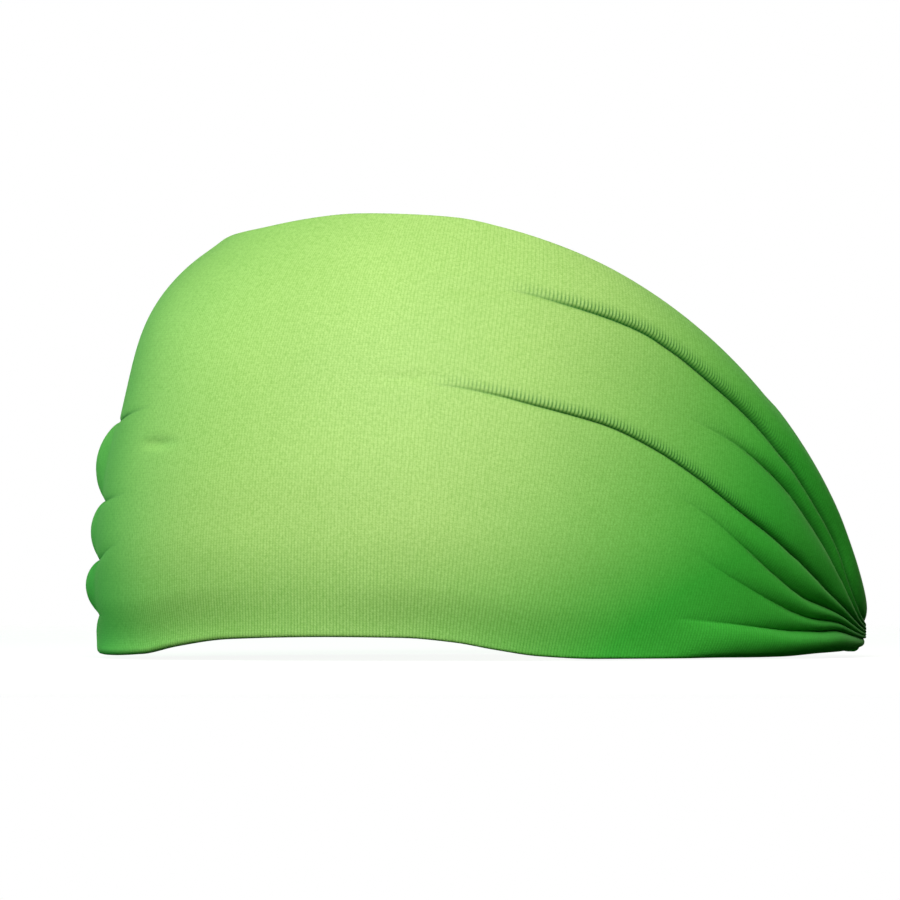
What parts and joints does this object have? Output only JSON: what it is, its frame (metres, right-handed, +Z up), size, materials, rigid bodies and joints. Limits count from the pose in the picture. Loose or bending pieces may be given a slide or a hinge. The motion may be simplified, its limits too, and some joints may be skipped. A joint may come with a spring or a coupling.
{
  "type": "sports headband",
  "caption": "Wide stretch-knit headband in its worn shape: tall front panel, pleated flanks gathered into a narrow elastic casing across the nape, open crown.",
  "frame": {"origin": "centre of the lower opening, at the height of the lower edge's mean level, where the band sits on the head", "axes": "+Z up the head, the wearer faces -Y, +Y is towards the nape, +X is the wearer's left; the sewn pieces are mirror-symmetric about the YZ plane, and as worn here the band sits slightly askew, its upper edge up to 5 mm higher on the wearer's left"},
  "size_m": [0.1609, 0.202, 0.1108],
  "materials": {
    "outer_knit": "fine jersey knit, lime green, soft satin sheen",
    "lining_knit": "fine jersey knit, lime green, matt inner face",
    "casing_knit": "fine jersey knit, lime green, ruched",
    "elastic": "woven elastic tape, matt white",
    "seam_thread": "overlocked polyester thread, lime green",
    "stitch_thread": "polyester sewing thread, lime green"
  },
  "bodies": {
    "band": {"outer_panel": "outer_knit", "lining_panel": "lining_knit"},
    "nape": {"rear_casing": "casing_knit", "rear_elastic": "elastic", "join_seam_left": "seam_thread", "join_seam_right": "seam_thread", "join_stitch_left": "stitch_thread", "join_stitch_right": "stitch_thread"}
  },
  "joints": [
    {"name": "rear_stretch", "type": "slide", "parent": "band", "child": "nape", "axis": [0, 1, 0], "range_m": [0, 0.025], "stiffness_N_per_m": 120}
  ]
}
